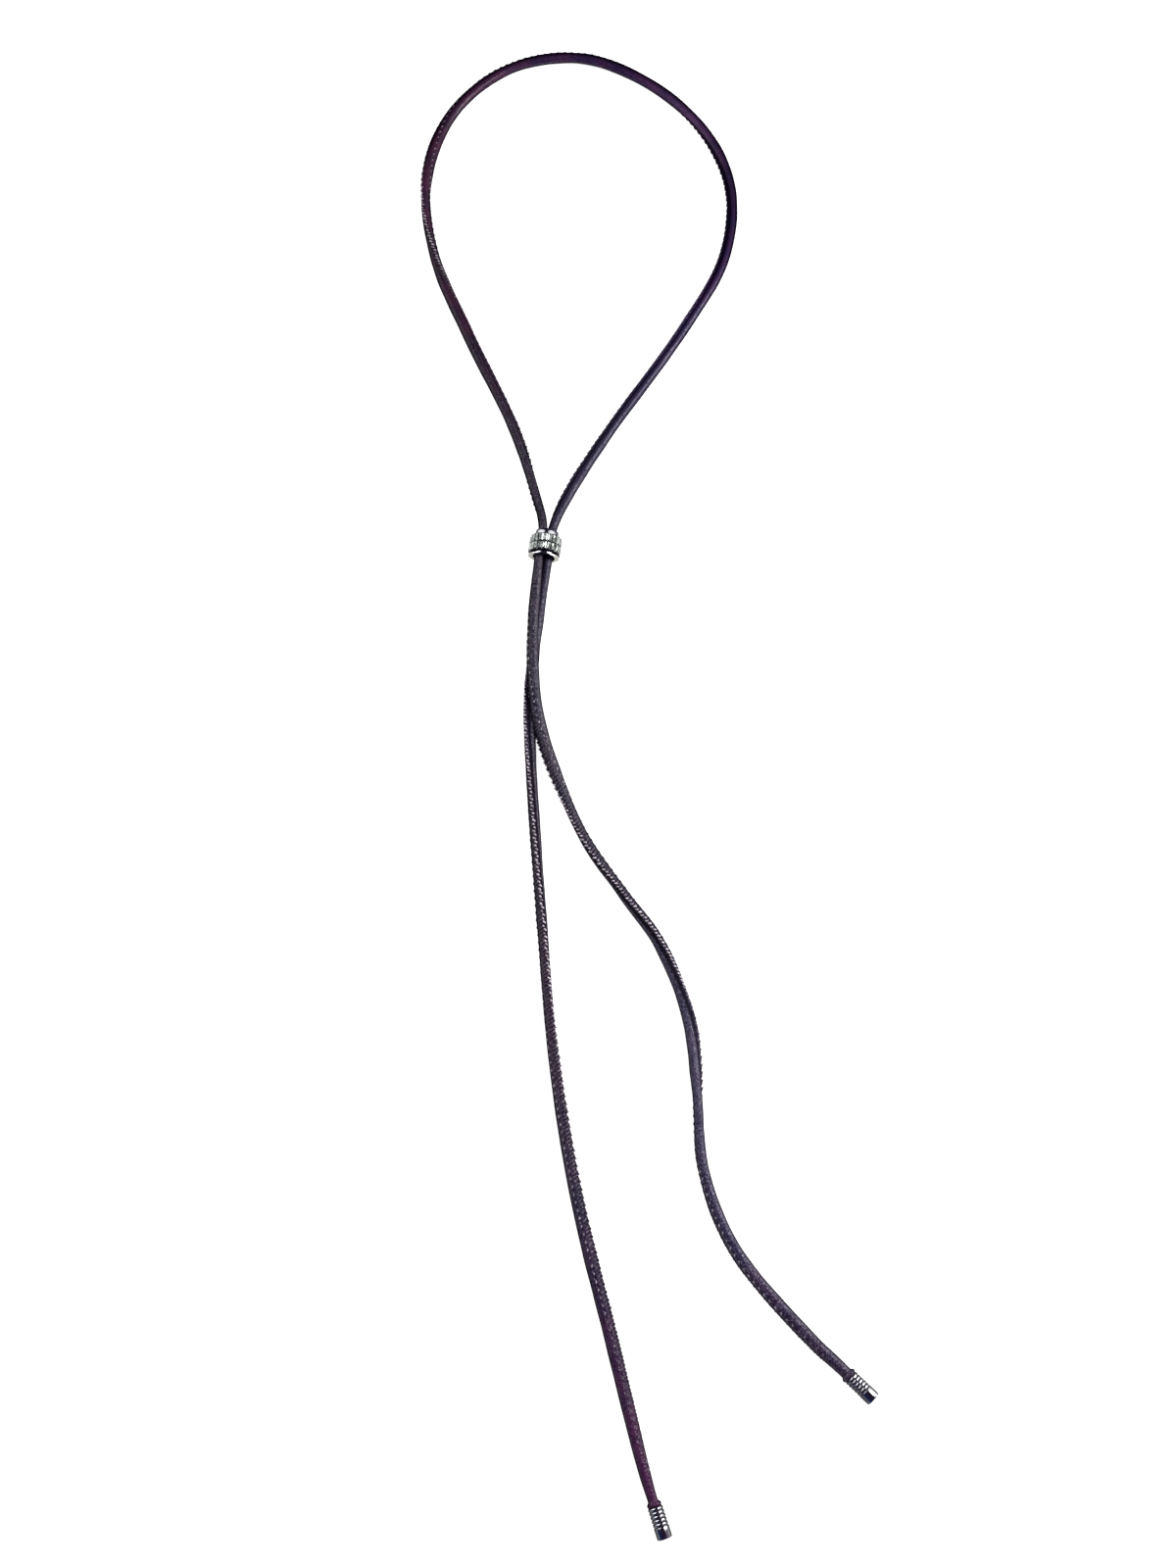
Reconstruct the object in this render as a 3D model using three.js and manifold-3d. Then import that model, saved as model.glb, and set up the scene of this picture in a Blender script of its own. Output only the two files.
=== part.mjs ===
// Lariat necklace: one long stitched leather cord, doubled through a crystal-set slider
// and finished with two ribbed metal end caps. It lies flat, as it is laid out on a table.
//
// Millimetres, +Z up, the table at z = 0. The loop for the neck points to +Y and the two
// free tails to -Y. The origin is on the table under the middle of the whole necklace.

import * as THREE from 'three';
import { mergeVertices } from 'three/addons/utils/BufferGeometryUtils.js';
import Module from 'manifold-3d';

// ---------------------------------------------------------------- driving dimensions

const CORD_RADIUS = 1.65; // round body of the cord, without its stitched ridge
const CORD_SIDES = 8;
const CORD_STEPS = 82;
const CORD_LENGTH_SAMPLES = 1600; // for even steps along the route

const SLIDER_CENTRE = new THREE.Vector3(-27.85, 59.2, 5.7);
const SLIDER_HEADING = THREE.MathUtils.degToRad(7.5); // from +Y towards +X
const BORE_RADIUS = 3.85; // two strands side by side
const COLLAR_RADIUS = 4.15;
const SETTING_RADIUS = 5.35; // the band under the stones
const STONE_RADIUS = 5.62; // outer faces of the stones
const FLANGE_HALF_WIDTH = 5.4; // an oval, wider than it is high
const FLANGE_HALF_HEIGHT = 4.1;
const UPPER_COLLAR = 2.4; // lengths along the bore, from the loop's end to the tails' end
const SETTING_LENGTH = 6;
const LOWER_COLLAR = 0.7;
const FLANGE_LENGTH = 0.5;
const SLIDER_LENGTH = UPPER_COLLAR + SETTING_LENGTH + LOWER_COLLAR + FLANGE_LENGTH;

const STONE_ROWS = 2;
const STONES_PER_ROW = 22;
const STONE_WIDTH = 1.34; // round the band
const STONE_HEIGHT = 2.66; // along the bore
const STONE_DEPTH = 0.9; // sunk into the band and standing a little proud of it
const SLIDER_SEGMENTS = 2 * STONES_PER_ROW;

const CAP_RADIUS = 2.4; // crests of the rings and the plain end
const CAP_GROOVE_RADIUS = 2.16;
const CAP_BORE_RADIUS = 1.95;
const CAP_BORE_DEPTH = 6.0;
const CORD_INSERT = 5.5; // how far the cord reaches into its cap
const CAP_RINGS = 6;
const RING_PITCH = 1.13;
const RING_FACETS = 4;
const CAP_PLAIN_END = 3.7;
const CAP_EDGE = 0.35; // rounding of the flat end's rim
const CAP_SEGMENTS = 24;

// The cord's centreline, from inside the left cap to inside the right cap: x, y, z.
const CORD_ROUTE = [
  // left tail, from its cap up to the slider
  [8.6, -257.1, 2.4],
  [5.2, -246.8, 2.4],
  [-4.4, -211, 1.75],
  [-16.6, -163, 1.75],
  [-24.6, -115, 1.75],
  [-29.6, -60, 1.75],
  [-33.1, 0, 1.75],
  [-30.4, 34, 2],
  // right half of the bore
  [-27.1, 53.6, 4.75],
  [-25.55, 65, 4.75],
  // round the loop: right leg, far bend, left leg
  [-19.4, 81, 2.8],
  [-6.2, 104.5, 1.75],
  [22.8, 148, 1.75],
  [37.2, 177, 1.75],
  [39.8, 205, 1.75],
  [31.2, 228.6, 1.75],
  [11, 250, 1.75],
  [-15, 262, 1.75],
  [-42, 258, 1.75],
  [-64.2, 238.3, 1.75],
  [-73.8, 208, 1.75],
  [-70, 177, 1.75],
  [-57, 144, 1.75],
  [-40.6, 108.5, 1.75],
  [-31.6, 80, 3.3],
  // left half of the bore
  [-28.75, 65.2, 6.65],
  [-30.1, 53.9, 6.65],
  // over the other strand, then the right tail down to its cap
  [-31.5, 30, 5.5],
  [-31.2, 12, 5.4],
  [-28.6, -7, 2.7],
  [-15.1, -43.5, 1.75],
  [-1.4, -64, 1.75],
  [10.1, -80.5, 1.75],
  [18.6, -103, 1.75],
  [22, -128, 1.75],
  [23.8, -153, 1.75],
  [33.2, -178, 1.75],
  [56.6, -205.4, 1.8],
  [63.4, -211.7, 2.4],
  [71, -218.85, 2.4],
].map(([x, y, z]) => new THREE.Vector3(x, y, z));

// ---------------------------------------------------------------- materials

const leather = () => new THREE.MeshStandardMaterial({ color: 0x2a2230, roughness: 0.5, metalness: 0 });
const polishedSteel = () => new THREE.MeshStandardMaterial({ color: 0xd4d6d8, roughness: 0.12, metalness: 1 });

// ---------------------------------------------------------------- solids

const wasm = await Module();
wasm.setup();

/** A closed three.js geometry as a manifold solid. */
function toSolid(geometry) {
  const bare = geometry.index ? geometry.clone() : geometry;
  bare.deleteAttribute('normal');
  bare.deleteAttribute('uv');
  const merged = mergeVertices(bare, 1e-4);
  return new wasm.Manifold(new wasm.Mesh({
    numProp: 3,
    vertProperties: merged.attributes.position.array,
    triVerts: new Uint32Array(merged.index.array),
  }));
}

/** A manifold solid as a three.js geometry. */
function toGeometry(solid) {
  const mesh = solid.getMesh();
  const geometry = new THREE.BufferGeometry();
  geometry.setAttribute('position', new THREE.BufferAttribute(mesh.vertProperties, 3));
  geometry.setIndex(new THREE.BufferAttribute(mesh.triVerts, 1));
  geometry.computeVertexNormals();
  return geometry;
}

/** A ring turned about the Y axis from a closed outline of [radius, height] corners. */
function turned(outline, segments) {
  const points = outline.map(([radius, height]) => new THREE.Vector2(radius, height));
  return new THREE.LatheGeometry(points, segments);
}

/** Turns a piece's own +Y to a direction and puts its origin at a place. */
function lay(mesh, place, direction) {
  mesh.quaternion.setFromUnitVectors(new THREE.Vector3(0, 1, 0), direction);
  mesh.position.copy(place);
  return mesh;
}

// ---------------------------------------------------------------- leather cord

function leatherCord() {
  const section = new THREE.Shape();
  for (let side = 0; side < CORD_SIDES; side += 1) {
    const angle = (2 * Math.PI * (side + 0.5)) / CORD_SIDES;
    const x = CORD_RADIUS * Math.cos(angle);
    const y = CORD_RADIUS * Math.sin(angle);
    if (side === 0) section.moveTo(x, y);
    else section.lineTo(x, y);
  }
  section.closePath();
  const route = new THREE.CatmullRomCurve3(CORD_ROUTE, false, 'centripetal');
  route.arcLengthDivisions = CORD_LENGTH_SAMPLES;
  const geometry = new THREE.ExtrudeGeometry(section, {
    steps: CORD_STEPS,
    bevelEnabled: false,
    extrudePath: route,
  });
  const mesh = new THREE.Mesh(geometry, leather());
  mesh.name = 'leather_cord';
  return mesh;
}

// ---------------------------------------------------------------- slider

/** A tube with a collar at each end of the stone band. */
function sliderTube() {
  const settingBottom = FLANGE_LENGTH + LOWER_COLLAR;
  const settingTop = settingBottom + SETTING_LENGTH;
  const outline = [
    [BORE_RADIUS, 0],
    [COLLAR_RADIUS, 0],
    [COLLAR_RADIUS, settingBottom],
    [SETTING_RADIUS, settingBottom],
    [SETTING_RADIUS, settingTop],
    [COLLAR_RADIUS, settingTop],
    [COLLAR_RADIUS, SLIDER_LENGTH],
    [BORE_RADIUS, SLIDER_LENGTH],
    [BORE_RADIUS, 0],
  ];
  return toSolid(turned(outline, SLIDER_SEGMENTS));
}

/** A thin oval plate round the bore at the tails' end. */
function endFlange() {
  const plate = new THREE.CylinderGeometry(
    FLANGE_HALF_WIDTH, FLANGE_HALF_WIDTH, FLANGE_LENGTH, SLIDER_SEGMENTS,
  );
  plate.translate(0, FLANGE_LENGTH / 2, 0);
  plate.scale(1, 1, FLANGE_HALF_HEIGHT / FLANGE_HALF_WIDTH);
  const bore = new THREE.CylinderGeometry(BORE_RADIUS, BORE_RADIUS, SLIDER_LENGTH, SLIDER_SEGMENTS);
  return toSolid(plate).subtract(toSolid(bore));
}

/** The rectangular stones, as blocks sunk into the band and standing a little proud. */
function sliderStones() {
  const firstRow = FLANGE_LENGTH + LOWER_COLLAR;
  const rowPitch = SETTING_LENGTH / STONE_ROWS;
  const stones = [];
  for (let row = 0; row < STONE_ROWS; row += 1) {
    for (let place = 0; place < STONES_PER_ROW; place += 1) {
      const block = new THREE.BoxGeometry(STONE_WIDTH, STONE_HEIGHT, STONE_DEPTH);
      block.translate(0, firstRow + (row + 0.5) * rowPitch, STONE_RADIUS - STONE_DEPTH / 2);
      block.rotateY((2 * Math.PI * place) / STONES_PER_ROW);
      stones.push(toSolid(block));
    }
  }
  return stones;
}

function slider() {
  let solid = sliderTube().add(endFlange());
  for (const stone of sliderStones()) solid = solid.add(stone);
  const mesh = new THREE.Mesh(toGeometry(solid), polishedSteel());
  mesh.name = 'slider';
  const along = new THREE.Vector3(Math.sin(SLIDER_HEADING), Math.cos(SLIDER_HEADING), 0);
  const tailsEnd = SLIDER_CENTRE.clone().addScaledVector(along, -SLIDER_LENGTH / 2);
  return lay(mesh, tailsEnd, along);
}

// ---------------------------------------------------------------- end caps

/** Blind bore, a row of rounded rings from the mouth on, then a plain end. */
function capOutline() {
  const outline = [
    [0, CAP_BORE_DEPTH],
    [CAP_BORE_RADIUS, CAP_BORE_DEPTH],
    [CAP_BORE_RADIUS, 0],
  ];
  const swell = CAP_RADIUS - CAP_GROOVE_RADIUS;
  for (let ring = 0; ring < CAP_RINGS; ring += 1) {
    for (let facet = 0; facet < RING_FACETS; facet += 1) {
      const turn = facet / RING_FACETS;
      outline.push([CAP_GROOVE_RADIUS + swell * Math.sin(Math.PI * turn), (ring + turn) * RING_PITCH]);
    }
  }
  const ringsEnd = CAP_RINGS * RING_PITCH;
  const capEnd = ringsEnd + CAP_PLAIN_END;
  outline.push(
    [CAP_GROOVE_RADIUS, ringsEnd],
    [CAP_RADIUS, ringsEnd + CAP_EDGE],
    [CAP_RADIUS, capEnd - CAP_EDGE],
    [CAP_RADIUS - CAP_EDGE, capEnd],
    [0, capEnd],
  );
  return outline;
}

/** A cap on a cord's end, in line with the last stretch of the cord. */
function endCap(name, cordEnd, cordBefore) {
  const mesh = new THREE.Mesh(turned(capOutline(), CAP_SEGMENTS), polishedSteel());
  mesh.name = name;
  const outward = cordEnd.clone().sub(cordBefore).normalize();
  const mouth = cordEnd.clone().addScaledVector(outward, -CORD_INSERT);
  return lay(mesh, mouth, outward);
}

// ---------------------------------------------------------------- the necklace

const necklace = new THREE.Group();
necklace.add(
  leatherCord(),
  slider(),
  endCap('left_end_cap', CORD_ROUTE.at(0), CORD_ROUTE.at(1)),
  endCap('right_end_cap', CORD_ROUTE.at(-1), CORD_ROUTE.at(-2)),
);

export default necklace;
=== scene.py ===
"""Lariat necklace: a stitched leather cord through a crystal-set slider, with two ribbed steel end caps."""
import math

import bmesh
import bpy
import numpy as np
from mathutils import Matrix, Vector


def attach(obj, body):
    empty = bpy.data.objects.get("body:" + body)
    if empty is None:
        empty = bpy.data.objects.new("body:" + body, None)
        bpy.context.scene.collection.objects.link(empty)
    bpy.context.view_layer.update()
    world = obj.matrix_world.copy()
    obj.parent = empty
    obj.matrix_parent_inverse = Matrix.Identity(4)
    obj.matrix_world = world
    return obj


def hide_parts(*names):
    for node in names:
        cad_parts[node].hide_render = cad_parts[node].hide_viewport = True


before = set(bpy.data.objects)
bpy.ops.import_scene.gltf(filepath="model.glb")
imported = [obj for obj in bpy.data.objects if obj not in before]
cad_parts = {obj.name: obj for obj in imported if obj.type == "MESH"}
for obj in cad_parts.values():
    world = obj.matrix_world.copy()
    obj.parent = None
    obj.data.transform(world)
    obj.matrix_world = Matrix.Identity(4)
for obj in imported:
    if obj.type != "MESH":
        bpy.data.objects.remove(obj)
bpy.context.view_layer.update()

MM = 0.001

# ---------------------------------------------------------------- camera

CAMERA_PLACE = (-0.013, -0.181, 0.560)  # metres, high over the tails
CAMERA_TILT = math.radians(15.5)  # from straight down towards the loop


def place_camera():
    """Looks down on the whole necklace."""
    data = bpy.data.cameras.new("camera")
    data.sensor_fit = "AUTO"
    data.sensor_width = 36
    data.lens = 39.375
    data.clip_start = 0.01
    data.clip_end = 20
    camera = bpy.data.objects.new("camera", data)
    camera.location = CAMERA_PLACE
    camera.rotation_euler = (CAMERA_TILT, 0, 0)
    bpy.context.scene.collection.objects.link(camera)
    bpy.context.scene.camera = camera


# ---------------------------------------------------------------- the cord's line

# The cord's centreline in metres, from inside the left cap to inside the right cap.
CORD_ROUTE = [
    # left tail, from its cap up to the slider
    (0.0086, -0.2571, 0.0024),
    (0.0052, -0.2468, 0.0024),
    (-0.0044, -0.211, 0.00175),
    (-0.0166, -0.163, 0.00175),
    (-0.0246, -0.115, 0.00175),
    (-0.0296, -0.06, 0.00175),
    (-0.0331, 0.0, 0.00175),
    (-0.0304, 0.034, 0.002),
    # right half of the bore
    (-0.0271, 0.0536, 0.00475),
    (-0.02555, 0.065, 0.00475),
    # round the loop: right leg, far bend, left leg
    (-0.0194, 0.081, 0.0028),
    (-0.0062, 0.1045, 0.00175),
    (0.0228, 0.148, 0.00175),
    (0.0372, 0.177, 0.00175),
    (0.0398, 0.205, 0.00175),
    (0.0312, 0.2286, 0.00175),
    (0.011, 0.25, 0.00175),
    (-0.015, 0.262, 0.00175),
    (-0.042, 0.258, 0.00175),
    (-0.0642, 0.2383, 0.00175),
    (-0.0738, 0.208, 0.00175),
    (-0.07, 0.177, 0.00175),
    (-0.057, 0.144, 0.00175),
    (-0.0406, 0.1085, 0.00175),
    (-0.0316, 0.08, 0.0033),
    # left half of the bore
    (-0.02875, 0.0652, 0.00665),
    (-0.0301, 0.0539, 0.00665),
    # over the other strand, then the right tail down to its cap
    (-0.0315, 0.03, 0.0055),
    (-0.0312, 0.012, 0.0054),
    (-0.0286, -0.007, 0.0027),
    (-0.0151, -0.0435, 0.00175),
    (-0.0014, -0.064, 0.00175),
    (0.0101, -0.0805, 0.00175),
    (0.0186, -0.103, 0.00175),
    (0.022, -0.128, 0.00175),
    (0.0238, -0.153, 0.00175),
    (0.0332, -0.178, 0.00175),
    (0.0566, -0.2054, 0.0018),
    (0.0634, -0.2117, 0.0024),
    (0.071, -0.21885, 0.0024),
]
SAMPLES_PER_SPAN = 120
STITCH_PITCH = 2.48 * MM
RINGS_PER_STITCH = 8
CAP_INSERT = 5.5 * MM  # how far the cord reaches into its caps


def smooth_line(points, samples):
    """A centripetal Catmull-Rom curve through the points, as a dense polyline."""
    points = np.array(points, float)
    points = np.vstack([2 * points[0] - points[1], points, 2 * points[-1] - points[-2]])
    t = np.linspace(0, 1, samples, endpoint=False)[:, None]
    line = []
    for p0, p1, p2, p3 in zip(points, points[1:], points[2:], points[3:]):
        d0, d1, d2 = (math.sqrt(np.linalg.norm(b - a)) for a, b in ((p0, p1), (p1, p2), (p2, p3)))
        t1 = ((p1 - p0) / d0 - (p2 - p0) / (d0 + d1) + (p2 - p1) / d1) * d1
        t2 = ((p2 - p1) / d1 - (p3 - p1) / (d1 + d2) + (p3 - p2) / d2) * d1
        line.append(p1 + t1 * t + (3 * (p2 - p1) - 2 * t1 - t2) * t**2 + (2 * (p1 - p2) + t1 + t2) * t**3)
    return np.vstack(line + [points[-2:-1]])


def smoothed(values, width):
    """A running average over `width` neighbours, the near ones weighing most, with the ends held."""
    half = width // 2
    window = np.hanning(2 * half + 3)[1:-1]
    padded = np.pad(values, half, mode="edge")
    return np.convolve(padded, window / window.sum(), mode="valid")


class CordLine:
    """Even rings along the cord: centres, directions and distances from the left end, in metres."""

    def __init__(self):
        dense = smooth_line(CORD_ROUTE, SAMPLES_PER_SPAN)
        travelled = np.concatenate([[0], np.cumsum(np.linalg.norm(np.diff(dense, axis=0), axis=1))])
        self.length = travelled[-1]
        count = round(self.length / STITCH_PITCH * RINGS_PER_STITCH) + 1
        self.along = np.linspace(0, self.length, count)
        self.centre = np.stack([np.interp(self.along, travelled, dense[:, k]) for k in range(3)], 1)
        ahead = np.gradient(self.centre, axis=0)
        self.ahead = ahead / np.linalg.norm(ahead, axis=1)[:, None]
        right = np.cross(self.ahead, (0, 0, 1))
        self.right = right / np.linalg.norm(right, axis=1)[:, None]
        self.up = np.cross(self.right, self.ahead)


# ---------------------------------------------------------------- leather cord

CORE_RADIUS = 1.70 * MM
# Where the seam's free edge lies: distance along the cord in mm, degrees from straight up
# towards the right of travel. The seam wanders round the cord as the cord twists.
SEAM_ROLL = [
    (0, 150), (15, 150), (28, 125), (45, 118), (62, 103), (80, 93), (100, 80), (120, 70), (140, 54),
    (160, 34), (175, 22), (190, 10), (205, 1), (220, -8), (235, -18), (250, -32), (265, -52), (300, -80),
    (330, -78), (350, -82), (385, -80), (405, -65), (430, -62), (445, -75), (465, -100), (490, -125),
    (520, -160), (560, -185), (590, -198), (610, -212), (622, -226), (637, -262), (650, -295),
    (662, -322), (680, -350), (700, -390), (712, -412), (730, -440), (770, -455), (785, -500),
    (800, -540), (812, -560), (845, -562), (855, -570), (870, -595), (897, -652), (912, -685),
    (923, -698), (935, -706), (947, -718), (957, -730), (970, -744), (985, -765), (1000, -800),
    (1015, -850), (1030, -905), (1045, -940), (1060, -948), (1075, -940), (1090, -938), (1105, -955),
    (1123, -968),
]
# How far the seam stands up: mm along the cord, 1 where it is free, less where it is pressed flat by the
# slider, a cap or the other strand.
SEAM_FREEDOM = [
    (0, 0), (6, 0.1), (14, 0.7), (24, 1), (272, 1), (284, 0.35), (306, 0.3), (316, 0.06), (331, 0.06),
    (342, 0.9), (350, 1), (798, 1), (807, 0.06), (826, 0.06), (836, 0.7), (850, 1), (1098, 1),
    (1108, 0.7), (1117, 0.1), (1123, 0),
]
# How much thinner the cord is where it is pressed: mm along the cord, mm off the radius.
CORD_SQUEEZE = [
    (0, 0.1), (8, 0.1), (12, 0), (270, 0), (285, 0.1), (312, 0.1), (332, 0.1), (340, 0), (655, 0),
    (665, 0.12), (690, 0.12), (705, 0), (800, 0), (808, 0.1), (850, 0.1), (862, 0), (1112, 0),
    (1116, 0.1), (1123, 0.1),
]
# The cord's width against its height: mm along the cord, more than 1 where it is pressed a little flat.
CORD_BREADTH = [
    (0, 1), (20, 1.03), (60, 1.05), (110, 0.98), (150, 1), (180, 1.02), (230, 1.06), (290, 1.08),
    (318, 1), (340, 0.98), (380, 0.94), (450, 0.96), (490, 1.02), (515, 1.2), (560, 1.32), (590, 1.18),
    (630, 1.14), (655, 1.06), (685, 1.1), (712, 1.08), (735, 1), (760, 0.95), (785, 0.98), (800, 0.94),
    (812, 1), (840, 1.1), (885, 1.1), (920, 1.04), (960, 1.14), (995, 1.1), (1020, 0.94), (1045, 1),
    (1068, 1.1), (1095, 1.14), (1123, 1.05),
]
# How far the soft cord lies to the right of its line: mm along the cord, mm.
CORD_SWAY = [
    (0, 0), (35, 0.05), (60, 0.2), (84, 0.15), (108, 0), (132, 0.05), (156, 0.25), (180, 0.4),
    (204, 0.15), (262, 0.2), (290, 0.45), (300, 0.4), (314, 0), (336, 0), (352, 0.45), (372, 0.65),
    (396, 0.6), (420, 0.35), (444, 0.65), (468, 0.6), (492, 0.5), (516, 0.2), (564, 0.05), (588, -0.1),
    (612, -0.2), (636, -0.5), (660, -0.5), (684, -0.2), (732, 0), (756, 0.15), (780, -0.1), (796, 0.1),
    (806, 0), (826, 0), (842, 0.55), (875, 0.5), (895, 0.15), (924, -0.15), (948, -0.1), (972, -0.35),
    (996, -0.6), (1020, 0), (1044, 0.25), (1068, 0), (1123, 0),
]
# The section once round, from the free edge: degrees, rise above the round core in mm, pucker in mm.
SECTION = [
    (-104, 0, 0), (-96, 0.03, 0.02), (-90, -0.05, 0), (-83, 0.06, 0.04), (-71, 0.16, 0.07),
    (-57, 0.28, 0.09), (-43, 0.42, 0.11), (-30, 0.56, 0.13), (-18, 0.70, 0.16), (-8, 0.82, 0.19),
    (0, 0.84, 0.19), (7, 0.66, 0.13), (12, 0.32, 0.06), (17, 0, 0.02), (24, -0.09, 0), (36, 0, 0),
    (56, 0, 0), (78, 0, 0), (102, 0, 0), (127, 0, 0), (152, 0, 0), (178, 0, 0), (204, 0, 0), (230, 0, 0),
]
# How far the stitches swell: mm along the cord, 1 on the tails, less where they are tight round the neck.
STITCH_SWELL = [
    (0, 1), (340, 0.9), (400, 0.4), (640, 0.4), (680, 0.6), (730, 0.4), (790, 0.5), (840, 1), (1123, 1),
]
SMOOTHING = {"roll": 61, "freedom": 9, "squeeze": 31, "wander": 41}  # rings each is smoothed over
STITCH_ROW = -90  # degrees from the free edge
PUCKER_SLANT = 1.5 * MM  # how far a pucker leans along the cord from the stitch row to the free edge
PUCKER_REACH = 1.2  # it goes on leaning to this share of that arc, just past the edge
PUCKER_SWAY = 5  # degrees that a pucker pulls the edge to and fro
PUCKER_STRENGTHS = (0.6, 1.3)  # no two stitches are pulled equally tight
GATHER_SLANT = PUCKER_SLANT / (math.pi / 2 * CORE_RADIUS)  # the same lean, for each mm round the cord
HOLE_DEPTH = 0.30 * MM
HOLE_LENGTH = 0.30 * MM
HOLE_WIDTH = 6  # degrees
FLOOR_GAP = 0.05 * MM
SEAM_BALANCE = 0.3 * MM  # the core sits this far to the other side of the line from the seam
SEAM_BULK = math.radians(-20)  # the middle of the seam's bulk, from its free edge
CORE_WANDER = 0.035 * MM  # how much the radius of the soft core wanders
# The leather swells over the cap's mouth in place of its first ring: mm from the cord's end, rise in mm.
MOUTH_SWELL = [(4.25, 0), (4.4, 0.4), (4.8, 0.66), (5.3, 0.66), (5.6, 0.4), (5.9, 0.08), (6.4, 0)]
SEED = 11


def along_table(table, places_mm):
    """A table's value at each place, on straight lines between its rows."""
    at, value = zip(*table)
    return np.interp(places_mm, at, value)


class CordSkin:
    """The leather's surface as rings of points round the cord line."""

    def __init__(self, line):
        rng = np.random.default_rng(SEED)
        self.line = line
        mm = line.along / MM
        degrees, rise, pucker = (np.array(column, float) for column in zip(*SECTION))
        self.degrees = degrees
        self.roll = np.radians(smoothed(along_table(SEAM_ROLL, mm), SMOOTHING["roll"]))
        self.freedom = smoothed(along_table(SEAM_FREEDOM, mm), SMOOTHING["freedom"])
        self.swell = along_table(STITCH_SWELL, mm)
        self.breadth = smoothed(along_table(CORD_BREADTH, mm), SMOOTHING["roll"])
        sway = smoothed(along_table(CORD_SWAY, mm), SMOOTHING["roll"]) * MM
        self.shift = -SEAM_BALANCE * np.sin(self.roll + SEAM_BULK) * self.freedom + sway
        wander = smoothed(rng.normal(0, 1, len(mm)), SMOOTHING["wander"])
        squeeze = smoothed(along_table(CORD_SQUEEZE, mm), SMOOTHING["squeeze"]) * MM
        mouth = along_table(MOUTH_SWELL, np.minimum(mm, mm[-1] - mm)) * MM
        self.core = CORE_RADIUS - squeeze + CORE_WANDER * wander / wander.std() + mouth

        # Two swells for each stitch, a big and a small one, that lean along the cord up to the free edge.
        stitch = line.along / STITCH_PITCH
        stitches = math.ceil(stitch[-1]) + 1
        pull = np.interp(stitch, np.arange(stitches), rng.uniform(*PUCKER_STRENGTHS, stitches)) * self.swell
        up_the_seam = np.clip((degrees - STITCH_ROW) / -STITCH_ROW, 0, PUCKER_REACH)
        phase = 2 * math.pi * (stitch[:, None] - (PUCKER_SLANT / STITCH_PITCH * up_the_seam)[None])
        bulge = 0.62 * np.cos(phase) + 0.38 * np.cos(2 * phase + 0.8)
        lift = (rise[None] + pucker[None] * bulge * pull[:, None]) * self.freedom[:, None] * MM
        from_hole = ((stitch % 1) - 0.5) * STITCH_PITCH / HOLE_LENGTH
        near_row = np.exp(-(((degrees - STITCH_ROW) / HOLE_WIDTH) ** 2))
        lift -= HOLE_DEPTH * np.exp(-from_hole**2)[:, None] * near_row[None] * self.freedom[:, None]
        swing = np.radians(PUCKER_SWAY) * np.clip(pucker / pucker.max(), 0, 1)
        angle = self.roll[:, None] + np.radians(degrees)[None] + swing[None] * np.cos(phase)
        self.points = self.place(self.core[:, None] + lift, angle)

    def place(self, radius, angle, rings=slice(None)):
        """Points at a distance and an angle round the cord, for some of its rings, kept off the floor."""
        line = self.line
        sideways = radius * np.sin(angle) * self.breadth[rings, None] + self.shift[rings, None]
        across = sideways[..., None] * line.right[rings, None]
        upward = (radius * np.cos(angle))[..., None] * line.up[rings, None]
        points = line.centre[rings, None] + across + upward
        points[..., 2] = np.maximum(points[..., 2], FLOOR_GAP)
        return points


def finish_piece(name, mesh, materials, smooth=True):
    """A mesh already in place becomes a piece of the necklace."""
    piece = bpy.data.objects.new(name, mesh)
    bpy.context.scene.collection.objects.link(piece)
    for material in materials:
        mesh.materials.append(material)
    mesh.polygons.foreach_set("use_smooth", [smooth] * len(mesh.polygons))
    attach(piece, "root")
    return piece


def build_cord(skin, material):
    """The leather from end to end as one tube: its rings joined, and a flat face at each end."""
    rings, sides = skin.points.shape[:2]
    first = (np.arange(rings - 1)[:, None] * sides + np.arange(sides)[None]).ravel()
    second = (np.arange(rings - 1)[:, None] * sides + (np.arange(sides) + 1)[None] % sides).ravel()
    quads = np.stack([first, second, second + sides, first + sides], 1)
    faces = quads.tolist() + [list(range(sides))[::-1], [(rings - 1) * sides + k for k in range(sides)]]
    mesh = bpy.data.meshes.new("leather_cord_skin")
    mesh.from_pydata(skin.points.reshape(-1, 3).tolist(), [], faces)

    # The skin's own map in millimetres: round the cord from the free edge, and along it.
    round_mm = np.radians(np.append(skin.degrees, skin.degrees[0] + 360)) * CORE_RADIUS / MM
    along_mm = skin.line.along / MM
    ring, side = np.divmod(np.arange(len(first)), sides)
    u = np.stack([round_mm[side], round_mm[side + 1], round_mm[side + 1], round_mm[side]], 1)
    v = np.stack([along_mm[ring], along_mm[ring], along_mm[ring + 1], along_mm[ring + 1]], 1)
    corners = np.stack([u, v], 2).reshape(-1, 2)
    ends = np.zeros((2 * sides, 2))
    layer = mesh.uv_layers.new(name="cord_surface")
    layer.uv.foreach_set("vector", np.vstack([corners, ends]).astype(np.float32).ravel())

    bm = bmesh.new()
    bm.from_mesh(mesh)
    bmesh.ops.recalc_face_normals(bm, faces=bm.faces)
    bm.to_mesh(mesh)
    bm.free()
    return finish_piece("stitched_leather_cord", mesh, [material])


# ---------------------------------------------------------------- stitches

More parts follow.
